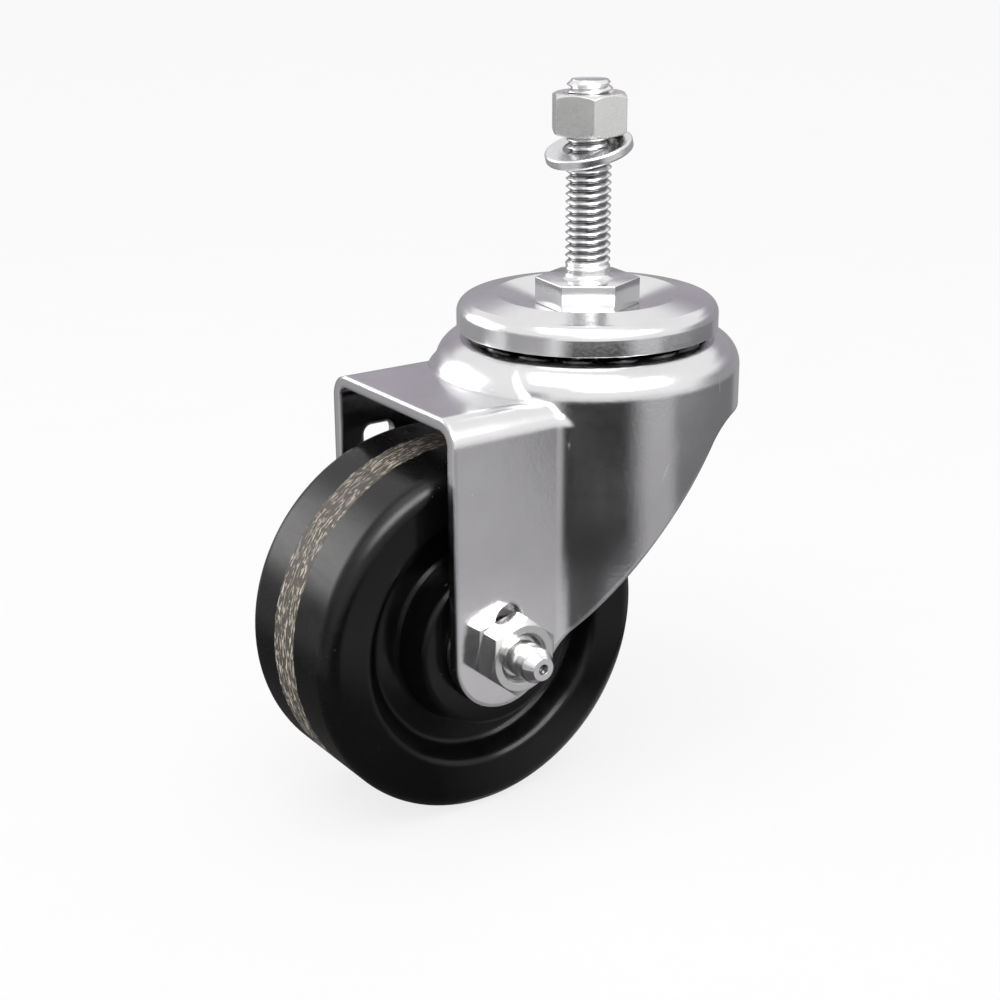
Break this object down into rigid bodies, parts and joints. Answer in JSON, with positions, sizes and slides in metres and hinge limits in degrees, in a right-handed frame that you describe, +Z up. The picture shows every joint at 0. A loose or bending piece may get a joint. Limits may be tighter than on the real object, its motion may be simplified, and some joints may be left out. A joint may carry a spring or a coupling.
{
  "type": "threaded stem swivel castor",
  "caption": "Swivel castor with a threaded stem, zinc-plated pressed steel fork, ball-race swivel head and a hard black moulded wheel on a greased roller bearing.",
  "frame": {"origin": "on the swivel axis at the top face of the stem's hex, the shoulder that seats against what it carries", "axes": "+Z up the threaded stem; -X towards the trailing wheel; the axle lies along Y, its nut and grease fitting at -Y"},
  "size_m": [0.1066, 0.0673, 0.1458],
  "materials": {
    "pressed_steel": "bright zinc plate",
    "stem_steel": "bright zinc plate",
    "nut_steel": "satin zinc plate",
    "ball_steel": "polished",
    "moulded_wheel": "glossy hard moulding"
  },
  "bodies": {
    "stem": {"threaded_stem": "stem_steel", "stem_nut": "nut_steel", "lock_washer": "nut_steel", "top_cap": "pressed_steel", "lower_cup": "pressed_steel"},
    "fork": {"fork": "pressed_steel", "axle_bolt": "nut_steel", "axle_nut": "nut_steel", "grease_fitting": "nut_steel", "grease_check_ball": "ball_steel", "grease_check_spring": "ball_steel", "spanner_bushing": "stem_steel", "thrust_washer_near": "nut_steel", "thrust_washer_far": "nut_steel"},
    "wheel": {"wheel": "moulded_wheel", "bearing_race": "ball_steel"},
    "roller_cage": {"roller_cage": "pressed_steel", "rollers": "ball_steel"},
    "ball_rings": {"upper_balls": "ball_steel", "lower_balls": "ball_steel"}
  },
  "joints": [
    {"name": "swivel", "type": "hinge", "parent": "stem", "child": "fork", "pos_m": [0, 0, 0], "axis": [0, 0, 1], "continuous": true},
    {"name": "wheel_spin", "type": "hinge", "parent": "fork", "child": "wheel", "pos_m": [-0.0363, 0, -0.0672], "axis": [0, 1, 0], "continuous": true},
    {"name": "roller_orbit", "type": "hinge", "parent": "fork", "child": "roller_cage", "pos_m": [-0.0363, 0, -0.0672], "axis": [0, 1, 0], "continuous": true},
    {"name": "ball_orbit", "type": "hinge", "parent": "stem", "child": "ball_rings", "pos_m": [0, 0, 0], "axis": [0, 0, 1], "continuous": true}
  ],
  "couplings": [
    {"joint": "roller_orbit", "follows": "wheel_spin", "ratio": 0.633},
    {"joint": "ball_orbit", "follows": "swivel", "ratio": 0.5}
  ]
}
